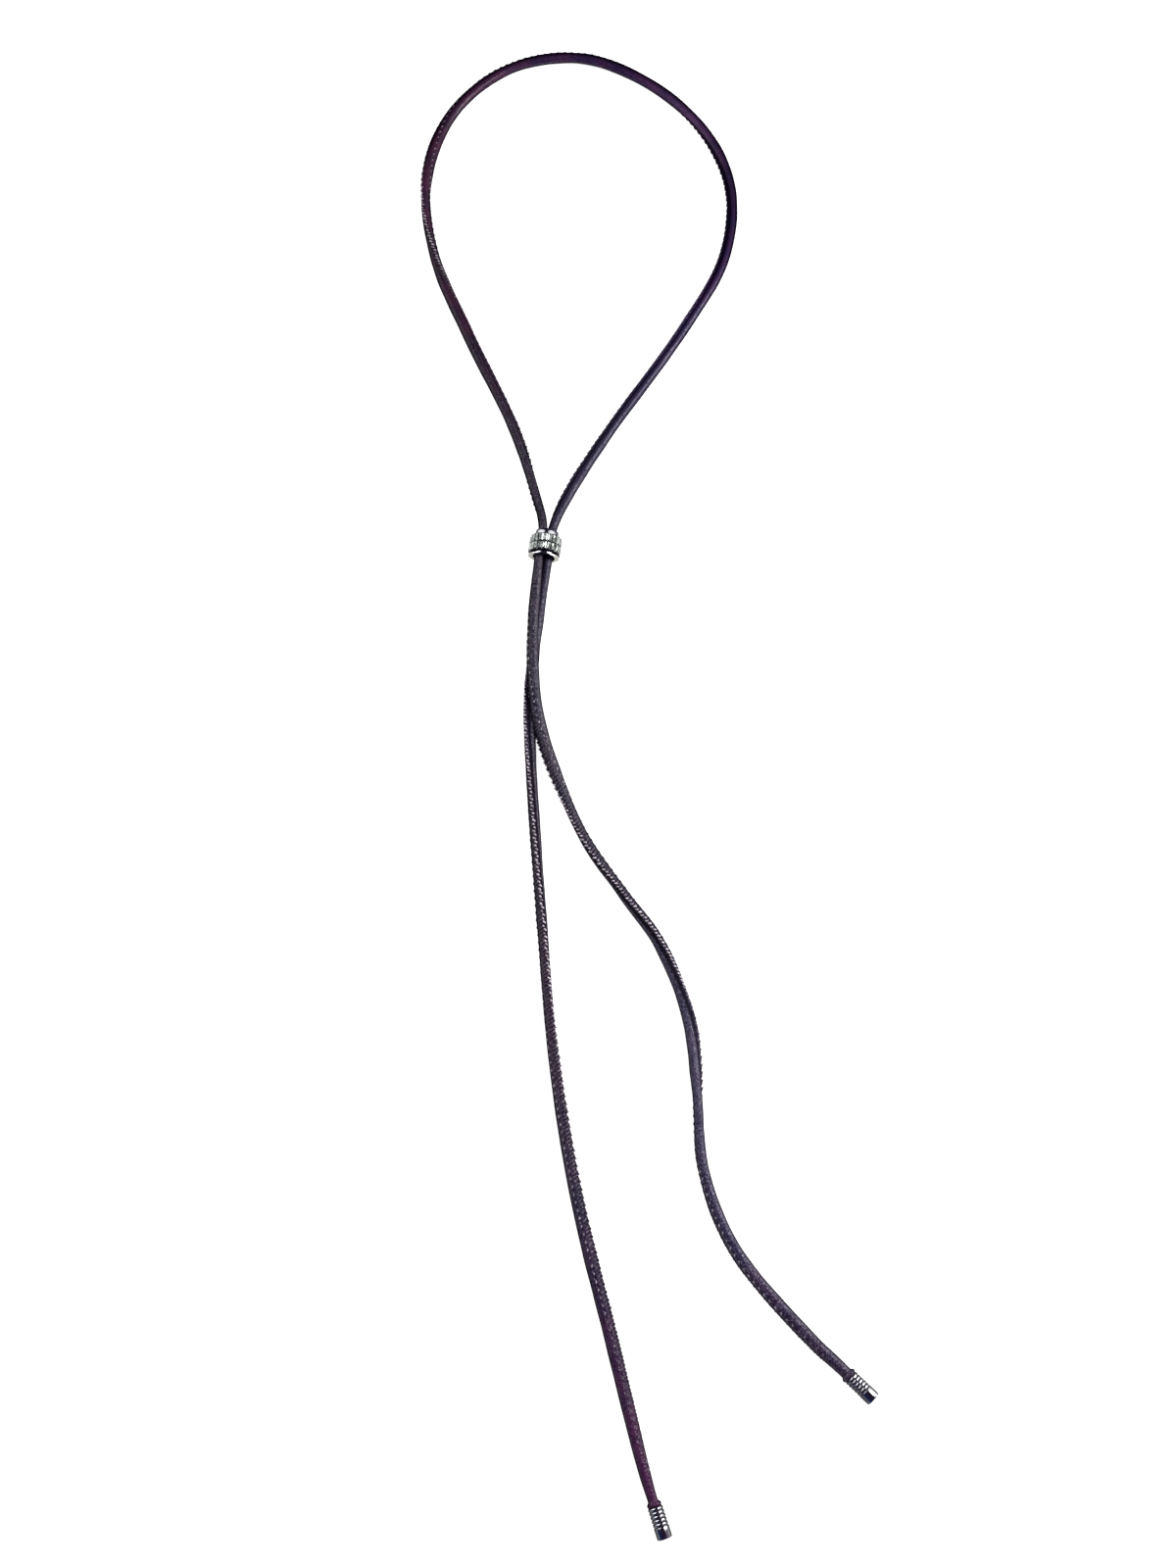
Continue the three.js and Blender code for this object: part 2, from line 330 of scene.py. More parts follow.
EDGE_THREAD = (0.66, 0.32, 0.24)  # half the length, width and height of a thread over the free edge, mm
ROW_THREAD = (0.6, 0.27, 0.24)  # and of one at a hole of the row
THREAD_SIZES = (0.8, 1.15)  # the smallest and largest share of those lengths and widths
THREAD_LEANS = (-0.15, 0.15)  # radians that a thread may lie askew
EDGE_LEAN = 0.85  # radians from the cord's direction
ROW_LEAN = -0.35
ROW_LIFT = 0.05 * MM  # a row's thread lies this far over the core
ROW_ASIDE = 1  # and this many degrees from the holes towards the free edge
SUNK = 0.17 * MM  # how deep the middle of a thread pulled quite tight lies in the edge
SUNK_LESS = 0.15 * MM  # how much less deep where the stitches swell fully
STITCHED_FROM = 0.6  # threads show where the seam is at least this free
VERTS_AT_ONCE = 1500  # a bmesh slows down as it grows, so it is moved into the whole at this size
OVER_EDGE, AT_HOLES = 0, 1  # the places of the two threads among the piece's materials


def move_into(whole, part):
    """Adds a small bmesh to a big one and frees it: quicker than making everything in the big one."""
    mesh = bpy.data.meshes.new("part")
    part.to_mesh(mesh)
    part.free()
    whole.from_mesh(mesh)
    bpy.data.meshes.remove(mesh)


def add_stitch(bm, place, out, forward, lean, half_sizes, material_index):
    """One thread as a small spindle lying on the leather, leaning from the cord's direction."""
    side = out.cross(forward).normalized()
    along = forward * math.cos(lean) + side * math.sin(lean)
    frame_of = Matrix((along, out.cross(along), out)).transposed().to_4x4()
    scale = Matrix.Diagonal([half * MM for half in half_sizes] + [1])
    made = bmesh.ops.create_uvsphere(
        bm, u_segments=6, v_segments=5, radius=1, matrix=Matrix.Translation(place) @ frame_of @ scale
    )
    for face in {face for vert in made["verts"] for face in vert.link_faces}:
        face.material_index = material_index


def build_stitches(skin, edge_thread, row_thread):
    """Whip stitches: a short thread at each hole of the row, and two over the free edge for each hole."""
    line = skin.line
    whole = bmesh.new()
    bm = bmesh.new()
    rng = np.random.default_rng(SEED + 1)
    edge = int(np.argmin(np.abs(skin.degrees)))
    row_angle = math.radians(STITCH_ROW + ROW_ASIDE)
    for ring in range(RINGS_PER_STITCH, len(line.along) - RINGS_PER_STITCH, RINGS_PER_STITCH // 2):
        if len(bm.verts) > VERTS_AT_ONCE:
            move_into(whole, bm)
            bm = bmesh.new()
        askew = rng.uniform(*THREAD_LEANS)
        size = rng.uniform(*THREAD_SIZES)
        if skin.freedom[ring] < STITCHED_FROM:
            continue
        forward = Vector(line.ahead[ring])
        centre = Vector(line.centre[ring])
        crest = Vector(skin.points[ring, edge])
        out = (crest - centre).normalized()
        spot = crest - out * (SUNK - SUNK_LESS * skin.swell[ring])
        half_sizes = np.multiply(EDGE_THREAD, (size, size, 1))
        add_stitch(bm, spot, out, forward, askew + EDGE_LEAN, half_sizes, OVER_EDGE)
        if ring % RINGS_PER_STITCH == 0:
            radius = np.array([[skin.core[ring] + ROW_LIFT]])
            angle = np.array([[skin.roll[ring] + row_angle]])
            spot = Vector(skin.place(radius, angle, slice(ring, ring + 1))[0, 0])
            out = (spot - centre).normalized()
            half_sizes = np.multiply(ROW_THREAD, (size, size, 1))
            add_stitch(bm, spot, out, forward, askew + ROW_LEAN, half_sizes, AT_HOLES)
    move_into(whole, bm)
    for vert in whole.verts:
        vert.co.z = max(vert.co.z, FLOOR_GAP)
    mesh = bpy.data.meshes.new("seam_stitches")
    whole.to_mesh(mesh)
    whole.free()
    return finish_piece("seam_stitches", mesh, [edge_thread, row_thread])


# ---------------------------------------------------------------- turned metal

# The slider and the caps are turned about +Z, in mm, and then laid in place.
SLIDER_CENTRE = Vector((-27.85, 59.2, 5.7)) * MM
SLIDER_HEADING = math.radians(7.5)  # from +Y towards +X
SLIDER_LENGTH = 9.6
SLIDER_STEPS = 96
BORE_RADIUS = 3.85
FLANGE_HALF_WIDTH = 5.4
FLANGE_HALF_HEIGHT = 4.1
FLANGE_LENGTH = 0.5
FLANGE_SATIN = 2.6  # the flange is satin to this distance above and below its middle, and polished past it
SOFT_EDGE = 0.1  # rounding of turned edges
SHARP = math.radians(25)  # an edge that turns by more than this gets rounded
SECOND_FINISH = 1  # the place of a turned piece's other finish among its materials


def turned(profile, steps=SLIDER_STEPS):
    """A closed body spun from a profile of (radius, height) corners in mm, as a bmesh in metres."""
    bm = bmesh.new()
    verts = [bm.verts.new((radius * MM, 0, height * MM)) for radius, height in profile]
    edges = [bm.edges.new(pair) for pair in zip(verts, verts[1:])]
    if profile[0][0] > 0:
        edges.append(bm.edges.new((verts[-1], verts[0])))
    bmesh.ops.spin(
        bm, geom=verts + edges, cent=(0, 0, 0), axis=(0, 0, 1), angle=2 * math.pi, steps=steps,
        use_merge=True,
    )
    bmesh.ops.remove_doubles(bm, verts=bm.verts, dist=1e-7)
    bmesh.ops.recalc_face_normals(bm, faces=bm.faces)
    return bm


def round_corners(bm):
    """Rounds each edge of a turned body where two surfaces meet at an angle."""
    sharp = [edge for edge in bm.edges if edge.is_manifold and edge.calc_face_angle(0) > SHARP]
    bmesh.ops.bevel(
        bm, geom=sharp, offset=SOFT_EDGE * MM, offset_type="OFFSET", segments=3, profile=0.5,
        affect="EDGES", material=-1, clamp_overlap=True,
    )


def axis_frame(origin, direction):
    """Puts a body made along +Z at a place and turns +Z to a direction."""
    return Matrix.Translation(origin) @ Vector(direction).to_track_quat("Z", "Y").to_matrix().to_4x4()


def slider_frame():
    """Where the slider lies: its tails' end, with +Z along the bore towards the loop."""
    heading = Vector((math.sin(SLIDER_HEADING), math.cos(SLIDER_HEADING), 0))
    return axis_frame(SLIDER_CENTRE - heading * (SLIDER_LENGTH / 2 * MM), heading)


def mesh_from(bm, name, matrix=None):
    """A bmesh as a mesh, first moved where the matrix says."""
    if matrix is not None:
        bmesh.ops.transform(bm, matrix=matrix, verts=bm.verts)
    mesh = bpy.data.meshes.new(name)
    bm.to_mesh(mesh)
    bm.free()
    return mesh


def give_dark_finish_and_shade(bm, picked):
    """Gives the dark finish, blackened steel and painted shade, to the faces of a turned body whose
    (radius, height) in mm are picked.
    """
    for face in bm.faces:
        centre = face.calc_center_median() / MM
        if picked(math.hypot(centre.x, centre.y), centre.z):
            face.material_index = SECOND_FINISH


def build_slider_body(steel, dark_finish_and_shade):
    """Two polished collars and, between them, the band under the stones with its three rails, nearly black
    with painted shade.
    """
    bm = turned([
        (BORE_RADIUS, 0.52), (4.15, 0.52), (4.15, 0.98), (4.1, 1.08),  # lower collar
        (5.3, 1.2), (5.42, 1.24), (5.42, 1.36), (5.0, 1.4),  # lower rail
        (5.0, 4.1), (5.42, 4.13), (5.42, 4.27), (5.0, 4.3),  # middle rail
        (5.0, 7.04), (5.42, 7.06), (5.42, 7.2), (4.6, 7.26),  # upper rail
        (4.15, 7.4), (4.15, 8.7), (4.0, 9.0), (4.0, SLIDER_LENGTH), (BORE_RADIUS, SLIDER_LENGTH),
    ])
    round_corners(bm)
    # Painted shade, nearly black: the bore, the band between the collars, and the rim at the loop's end.
    give_dark_finish_and_shade(bm, lambda radius, height: radius < 3.9 or 1.0 < height < 7.3 or height > 8.9)
    mesh = mesh_from(bm, "slider_body", slider_frame())
    piece = finish_piece("slider_body", mesh, [steel, dark_finish_and_shade])
    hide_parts("slider")


def build_slider_flange(satin, steel):
    """The thin oval plate at the tails' end: round inside, wider than it is high outside."""
    bm = turned([
        (BORE_RADIUS, 0),
        (FLANGE_HALF_WIDTH, 0),
        (FLANGE_HALF_WIDTH, FLANGE_LENGTH),
        (BORE_RADIUS, FLANGE_LENGTH),
    ])
    outside = (BORE_RADIUS + FLANGE_HALF_WIDTH) / 2 * MM
    for vert in bm.verts:
        if math.hypot(vert.co.x, vert.co.y) > outside:
            vert.co.y *= FLANGE_HALF_HEIGHT / FLANGE_HALF_WIDTH
    round_corners(bm)
    for face in bm.faces:
        if abs(face.calc_center_median().y) > FLANGE_SATIN * MM:
            face.material_index = SECOND_FINISH
    mesh = mesh_from(bm, "slider_flange", slider_frame())
    finish_piece("slider_flange", mesh, [satin, steel])


# ---------------------------------------------------------------- the slider's stones

STONES_PER_ROW = 22
STONE_RADIUS = 5.62  # from the bore's axis to a stone's face
STONE_ROWS = (2.7, 5.7)  # middles of the rows from the tails' end, mm
STONE_SIZE = (1.34, 2.66, 0.9)  # round the band, along the bore, deep
CUT_CORNER = 0.2
CROWN_WIDTH = 0.26
CROWN_HEIGHT = 0.18
TABLE_WIDTH = 0.12  # a fine step inside the crown
TABLE_DEPTH = 0.03
FACET_DEPTH = 0.16  # the table's four facets meet this far down
SET_ASKEW = 0.1  # radians, at most, that a stone is set out of true
PRONG_ROWS = (1.3, 4.2, 7.13)
PRONG_SEAT = 5.52
PRONG_RADIUS = 0.17


def top_face(stone):
    return max(stone.faces, key=lambda face: face.calc_center_median().z)


def cut_stone():
    """One rectangular stone facing +Z, its length on Y: cut corners, a sloping crown, a faceted table."""
    width, height, depth = STONE_SIZE
    stone = bmesh.new()
    bmesh.ops.create_cube(stone, size=1, matrix=Matrix.Diagonal((width, height, depth, 1)))
    corners = [edge for edge in stone.edges if abs(edge.verts[0].co.z - edge.verts[1].co.z) > depth / 2]
    bmesh.ops.bevel(
        stone, geom=corners, offset=CUT_CORNER, segments=1, profile=0.5, affect="EDGES", material=-1
    )
    bmesh.ops.inset_region(stone, faces=[top_face(stone)], thickness=CROWN_WIDTH, depth=CROWN_HEIGHT)
    bmesh.ops.inset_region(stone, faces=[top_face(stone)], thickness=TABLE_WIDTH, depth=-TABLE_DEPTH)
    table = max((face for face in stone.faces if face.normal.z > 0.9), key=lambda face: face.calc_area())
    bmesh.ops.poke(stone, faces=[table], offset=-FACET_DEPTH)
    return stone


def build_slider_stones(crystal):
    """Two rows of stones round the band, each set a little out of true."""
    rng = np.random.default_rng(SEED + 2)
    bm = bmesh.new()
    for middle in STONE_ROWS:
        seat = Matrix.Translation((0, middle, STONE_RADIUS - STONE_SIZE[2] / 2 - CROWN_HEIGHT))
        for place in range(STONES_PER_ROW):
            stone = cut_stone()
            nod = Matrix.Rotation(rng.uniform(-SET_ASKEW, SET_ASKEW), 4, "X")
            sway = Matrix.Rotation(rng.uniform(-SET_ASKEW, SET_ASKEW), 4, "Y")
            # Turned to face away from the Z axis, and then to its place round it.
            outward = Matrix.Rotation(math.pi / 2, 4, "X")
            turn = Matrix.Rotation(2 * math.pi * place / STONES_PER_ROW, 4, "Z")
            bmesh.ops.transform(stone, matrix=turn @ outward @ seat @ (nod @ sway), verts=stone.verts)
            move_into(bm, stone)
    bmesh.ops.scale(bm, vec=(MM, MM, MM), verts=bm.verts)
    mesh = mesh_from(bm, "slider_stones", slider_frame())
    finish_piece("slider_stones", mesh, [crystal], smooth=False)


def build_slider_prongs(steel):
    """Small round beads that hold the stones' corners."""
    bm = bmesh.new()
    for height in PRONG_ROWS:
        for place in range(STONES_PER_ROW):
            turn = Matrix.Rotation(2 * math.pi * (place + 0.5) / STONES_PER_ROW, 4, "Z")
            spot = turn @ Matrix.Translation((0, -PRONG_SEAT * MM, height * MM))
            bmesh.ops.create_icosphere(bm, subdivisions=1, radius=PRONG_RADIUS * MM, matrix=spot)
    mesh = mesh_from(bm, "slider_prongs", slider_frame())
    finish_piece("slider_prongs", mesh, [steel])


# ---------------------------------------------------------------- end caps

CAP_STEPS = 64
CAP_RINGS = 6
RING_PITCH = 1.13
RING_CREST = 2.4
RING_GROOVE = 2.08
RING_POINTS = 8
RING_FULLNESS = 0.6  # below 1, so the crests are broader than the grooves
CAP_LENGTH = 10.48
CAP_BORE = 1.95
CAP_BORE_DEPTH = 6.0
CAP_EDGE = 0.35
CAP_EDGE_POINTS = 4
BLACK_CREST = 0.6  # the grooves are painted black as shade up to this share of their depth
BLACK_PAST = 0.2  # and to this far past the last one


def cap_profile():
    """A blind bore, rounded rings and a plain end.

    The cord's leather swells over the place of the first ring, so the steel starts after it.
    """
    profile = [(0, CAP_BORE_DEPTH), (CAP_BORE, CAP_BORE_DEPTH), (CAP_BORE, RING_PITCH)]
    for ring in range(1, CAP_RINGS):
        for step in range(RING_POINTS):
            turn = step / RING_POINTS
            rise = (RING_CREST - RING_GROOVE) * math.sin(math.pi * turn) ** RING_FULLNESS
            profile.append((RING_GROOVE + rise, (ring + turn) * RING_PITCH))
    plain = CAP_RINGS * RING_PITCH
    profile += [(RING_GROOVE, plain), (RING_CREST - 0.06, plain + 0.16), (RING_CREST, plain + 0.3)]
    for step in range(CAP_EDGE_POINTS + 1):
        turn = math.pi / 2 * step / CAP_EDGE_POINTS
        inward = CAP_EDGE - CAP_EDGE * math.cos(turn)
        profile.append((RING_CREST - inward, CAP_LENGTH - CAP_EDGE + CAP_EDGE * math.sin(turn)))
    return profile + [(0, CAP_LENGTH)]


def build_cap(name, node, cord_end, cord_before, steel, dark_finish_and_shade):
    """A steel cap over the cord's end, in line with it, painted nearly black as shade in the bore and the
    grooves.
    """
    bm = turned(cap_profile(), CAP_STEPS)
    rings_end = CAP_RINGS * RING_PITCH + BLACK_PAST
    groove_side = RING_GROOVE + BLACK_CREST * (RING_CREST - RING_GROOVE)
    give_dark_finish_and_shade(bm, lambda radius, height: height < rings_end and radius < groove_side)
    outward = (Vector(cord_end) - Vector(cord_before)).normalized()
    mouth = Vector(cord_end) - outward * CAP_INSERT
    mesh = mesh_from(bm, name, axis_frame(mouth, outward))
    piece = finish_piece(name, mesh, [steel, dark_finish_and_shade])
    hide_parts(node)


# ---------------------------------------------------------------- materials

FROM, TO, LOW, HIGH = 1, 2, 3, 4  # inputs of a Map Range node, which goes from 0 to 1 unless told otherwise
SHARE, FIRST, SECOND, MIXED = 0, 6, 7, 2  # a Mix node's inputs for colours, and its output


def linear(hex_colour):
    """An sRGB hex colour as linear RGBA."""
    channels = [int(hex_colour[i:i + 2], 16) / 255 for i in (1, 3, 5)]
    return tuple(c / 12.92 if c <= 0.04045 else ((c + 0.055) / 1.055) ** 2.4 for c in channels) + (1.0,)


def add_node(tree, kind, inputs=None, **settings):
    """Adds a node with its settings and links.

    An input is a value, another node's output, or another node, which gives its first output.
    """
    made = tree.nodes.new("ShaderNode" + kind)
    for name, value in settings.items():
        setattr(made, name, value)
    for socket, value in (inputs or {}).items():
        if isinstance(value, bpy.types.Node):
            value = value.outputs[0]
        if isinstance(value, bpy.types.NodeSocket):
            tree.links.new(value, made.inputs[socket])
        else:
            made.inputs[socket].default_value = value
    return made


def new_material(name):
    """An empty material, its node tree, and the place of each point on the piece."""
    material = bpy.data.materials.new(name)
    material.use_nodes = True
    material.node_tree.nodes.clear()
    return material, material.node_tree, add_node(material.node_tree, "TexCoord").outputs["Object"]


# How the dye changes along the cord, with painted light that makes it lighter and greyer on the tails: mm
# from the left cap, plum patches, slate patches.
DYE_AND_LIGHT_ALONG_CORD = [
    (0, "#5a2652", "#3a2046"), (50, "#522a50", "#362448"), (90, "#443050", "#2e2a46"),
    (160, "#564252", "#403c50"), (215, "#503e4e", "#383648"), (245, "#3c2c46", "#2a2840"),
    (300, "#463a56", "#32304a"), (360, "#362a4c", "#292846"), (410, "#3c2c54", "#2b2850"),
    (450, "#481e58", "#2a2258"), (490, "#482252", "#2c224e"), (518, "#6e4076", "#423660"),
    (550, "#4e2454", "#281c46"), (580, "#482246", "#261a3e"), (650, "#5c264a", "#361a3a"),
    (725, "#421236", "#241030"), (775, "#3a2a3e", "#26223a"), (860, "#42384a", "#303042"),
    (930, "#4c4252", "#3c3a50"), (1000, "#544a64", "#403e5e"), (1080, "#4c3858", "#353152"),
    (1123, "#40304a", "#2a2646"),
]
DYE_PATCH = 8 * MM
GRAIN = 0.5 * MM  # from one rubbed top to the next
PEBBLE = 0.6 * MM
CREASES_PER_MM = (1.8, 0.1, 1.0)  # round the cord and along it, so each is about 10 mm long
GRAIN_DEPTH = 0.25 * MM
NECK = 525.0  # the loop's far bend, mm along the cord
SIDE_SHADE_LIGHT_FROM = (0.03, -0.23, 0.5)  # painted shade: sides turned away from this point, in metres, are painted darker
CREASE = 0.8  # mm round the cord from the free edge to the crease beside it


def dye_and_painted_light(tree, place, along, length):
    """Plum and slate in patches, each changing along the cord, partly dye and partly painted light."""
    share = add_node(tree, "Math", {0: along, 1: length / MM}, operation="DIVIDE")
    sides = []
    for side in (1, 2):
        ramp = add_node(tree, "ValToRGB", {"Fac": share})
        stops = ramp.color_ramp.elements
        for index, row in enumerate(DYE_AND_LIGHT_ALONG_CORD):
            stop = stops[index] if index < 2 else stops.new(row[0] * MM / length)
            stop.position = row[0] * MM / length
            stop.color = linear(row[side])
        sides.append(ramp)
    patches = add_node(tree, "TexNoise", {"Vector": place, "Scale": 1 / DYE_PATCH, "Detail": 2.0})
    patch = add_node(tree, "MapRange", {"Value": patches, FROM: 0.4, TO: 0.6, LOW: 0.15, HIGH: 0.85})
    dye_and_light = add_node(tree, "Mix", {SHARE: patch, FIRST: sides[0], SECOND: sides[1]}, data_type="RGBA")
    return dye_and_light.outputs[MIXED]


def rubbed_tops_and_glints(tree, grain, along, from_neck):
    """How pale the grain's tops are, partly rubbed wear and partly painted glints: most on the tails, least
    round the neck and by the left cap.
    """
    wear_and_glints_by_neck = add_node(tree, "MapRange", {"Value": from_neck, FROM: 180.0, TO: 280.0, LOW: 0.08, HIGH: 0.5})
    by_cap = add_node(tree, "MapRange", {"Value": along, FROM: 60.0, TO: 140.0, LOW: 0.2})
    most = add_node(tree, "Math", {0: wear_and_glints_by_neck, 1: by_cap}, operation="MULTIPLY")
    return add_node(tree, "MapRange", {"Value": grain, FROM: 0.55, TO: 0.66, HIGH: most})


def painted_gather_shade(tree, around, along, from_neck):
    """Painted shade between the seam's slanting gathers, two to a stitch, from row to free edge."""
    slant = add_node(tree, "Math", {0: around, 1: GATHER_SLANT}, operation="MULTIPLY")
    gather = add_node(tree, "Math", {0: along, 1: slant}, operation="SUBTRACT")
    turns = add_node(tree, "Math", {0: gather, 1: 4 * math.pi * MM / STITCH_PITCH}, operation="MULTIPLY")
    wave = add_node(tree, "Math", {0: turns}, operation="COSINE")
    between = add_node(tree, "MapRange", {"Value": wave, FROM: 0.1, TO: -0.6})
    past_row = add_node(tree, "MapRange", {"Value": around, FROM: -3.0, TO: -2.6})
    up_the_seam = add_node(tree, "MapRange", {"Value": around, FROM: -2.6, TO: -1.0, LOW: 0.15, HIGH: 0.8})
    deepest = add_node(tree, "MapRange", {"Value": from_neck, FROM: 60.0, TO: 260.0, LOW: 0.3})
    before_edge = add_node(tree, "MapRange", {"Value": around, FROM: 0.35, TO: 0.1, HIGH: deepest})
    for part in (past_row, up_the_seam, before_edge):
        between = add_node(tree, "Math", {0: between, 1: part}, operation="MULTIPLY")
    return between


def painted_crease_shade(tree, around, from_neck):
    """Painted shade in the crease beside the free edge: deep on the tails, shallow round the neck."""
    past_crease = add_node(tree, "Math", {0: around, 1: CREASE}, operation="SUBTRACT")
    from_crease = add_node(tree, "Math", {0: past_crease}, operation="ABSOLUTE")
    depth = add_node(tree, "MapRange", {"Value": from_neck, FROM: 140.0, TO: 260.0, LOW: 0.15, HIGH: 0.8})
    return add_node(tree, "MapRange", {"Value": from_crease, FROM: 0.7, TO: 0.35, HIGH: depth})


def painted_side_shade(tree, place, from_neck):
    """Painted shade: how dark the leather is painted down the sides that turn away from a light high over
    the tails.
    """
    facing = add_node(tree, "NewGeometry").outputs["Normal"]
    light = add_node(tree, "VectorMath", {0: SIDE_SHADE_LIGHT_FROM, 1: place}, operation="SUBTRACT")
    light = add_node(tree, "VectorMath", {0: light}, operation="NORMALIZE")
    towards = add_node(tree, "VectorMath", {0: facing, 1: light}, operation="DOT_PRODUCT").outputs["Value"]
    black_at = add_node(tree, "MapRange", {"Value": from_neck, FROM: 60.0, TO: 170.0, LOW: 0.62, HIGH: 0.4})
    return add_node(tree, "MapRange", {"Value": towards, FROM: 0.95, TO: black_at, LOW: 0.08, HIGH: 0.93})


def goat_leather(length):
    """Dyed goat leather, pebble-grained: plum and slate patches lightened by painted light on the tails,
    painted glints and painted shade, with a soft gloss on the grain's tops.
    """
    material, tree, place = new_material("dyed_goat_leather")
    surface = add_node(tree, "UVMap", uv_map="cord_surface")
    around, along = add_node(tree, "SeparateXYZ", {"Vector": surface}).outputs[:2]
    past_neck = add_node(tree, "Math", {0: along, 1: NECK}, operation="SUBTRACT")
    from_neck = add_node(tree, "Math", {0: past_neck}, operation="ABSOLUTE")
    grain = add_node(tree, "TexNoise", {"Vector": place, "Scale": 1 / GRAIN, "Detail": 2.0})

    # Pale on the grain's tops, partly rubbed wear and partly painted glints, and nearly black in its folds,
    # with painted shade between the gathers, in the crease beside the free edge and down the sides.
    wear_and_glints = rubbed_tops_and_glints(tree, grain, along, from_neck)
    dye_and_light = dye_and_painted_light(tree, place, along, length)
    colour = add_node(
        tree, "Mix", {SHARE: wear_and_glints, FIRST: dye_and_light, SECOND: linear("#a497ad")}, data_type="RGBA"
    ).outputs[MIXED]
    dark = add_node(tree, "MapRange", {"Value": grain, FROM: 0.46, TO: 0.36, HIGH: 0.7})
    for part in (
        painted_gather_shade(tree, around, along, from_neck),
        painted_crease_shade(tree, around, from_neck),
        painted_side_shade(tree, place, from_neck),
    ):
        dark = add_node(tree, "Math", {0: dark, 1: part}, operation="MAXIMUM")
    # Painted shade: the gathers, the crease and the sides are mixed towards near black.
    colour = add_node(
        tree, "Mix", {SHARE: dark, FIRST: colour, SECOND: linear("#08050c")}, data_type="RGBA"
    ).outputs[MIXED]

    # Pebbles and fine creases along the cord, stronger on the tails than round the neck.
    pebble = add_node(tree, "TexVoronoi", {"Vector": place, "Scale": 1 / PEBBLE}, feature="F1")
    shallow = add_node(tree, "Math", {0: pebble, 1: 0.6}, operation="MULTIPLY")
    stretched = add_node(tree, "Mapping", {"Vector": surface, "Scale": CREASES_PER_MM})
    creases = add_node(tree, "TexNoise", {"Vector": stretched, "Scale": 1.0, "Detail": 2.0})
    height = add_node(tree, "Math", {0: creases, 1: shallow}, operation="SUBTRACT")
    relief = add_node(tree, "MapRange", {"Value": from_neck, FROM: 140.0, TO: 260.0, LOW: 0.35, HIGH: 0.85})
    bump = add_node(tree, "Bump", {"Height": height, "Strength": relief, "Distance": GRAIN_DEPTH})

    # The grain's tops are smoother than its folds, and what is nearly black has no gloss.
    rough = add_node(tree, "MapRange", {"Value": grain, FROM: 0.35, TO: 0.65, LOW: 0.38, HIGH: 0.24})
    gloss = add_node(tree, "MapRange", {"Value": dark, FROM: 0.1, TO: 0.8, LOW: 0.3, HIGH: 0.0})
    shader = add_node(
        tree, "BsdfPrincipled",
        {"Base Color": colour, "Normal": bump, "Roughness": rough, "Specular IOR Level": gloss},
    )
    add_node(tree, "OutputMaterial", {"Surface": shader})
    return material


THREAD_TWIST = 0.9 * MM


def waxed_thread(name, shaded, lit):
    """Waxed polyester thread: greyish plum, twisted, with a painted highlight running from a shaded to a
    lit colour along the twist on each stitch.
    """
    material, tree, place = new_material(name)
    twist = add_node(tree, "TexNoise", {"Vector": place, "Scale": 1 / THREAD_TWIST, "Detail": 2.0})
    tone = add_node(tree, "ValToRGB", {"Fac": twist})
    tone.color_ramp.elements[0].position = 0.4
    tone.color_ramp.elements[0].color = linear(shaded)
    tone.color_ramp.elements[1].position = 0.62
    tone.color_ramp.elements[1].color = linear(lit)
    # Painted shade: round the neck and by the left cap, where less light catches them, the threads are
    # painted darker, only about half as much in the loop's west bend.
    east, north = add_node(tree, "SeparateXYZ", {"Vector": place}).outputs[:2]
    dimmed = add_node(tree, "MapRange", {"Value": north, FROM: 0.03, TO: 0.08, HIGH: 0.85})
    dimming_kept = add_node(tree, "MapRange", {"Value": east, FROM: -0.07, TO: -0.066, LOW: 0.45})
    dimmed = add_node(tree, "Math", {0: dimmed, 1: dimming_kept}, operation="MULTIPLY")
    by_cap = add_node(tree, "MapRange", {"Value": north, FROM: -0.19, TO: -0.215, HIGH: 0.8})
    dimmed = add_node(tree, "Math", {0: dimmed, 1: by_cap}, operation="MAXIMUM")
    colour = add_node(
        tree, "Mix", {SHARE: dimmed, FIRST: tone, SECOND: linear("#3c2440")}, data_type="RGBA"
    ).outputs[MIXED]
    bump = add_node(tree, "Bump", {"Height": twist, "Strength": 0.4, "Distance": 0.1 * MM})
    shader = add_node(tree, "BsdfPrincipled", {"Base Color": colour, "Normal": bump, "Roughness": 0.3})
    add_node(tree, "OutputMaterial", {"Surface": shader})
    return material


BUFFING_HAZE = 0.6 * MM  # coarser than the real one, which is too fine to show
BLASTED_GRIT = 0.4 * MM  # this too
GROOVE_GRIME = 0.5 * MM


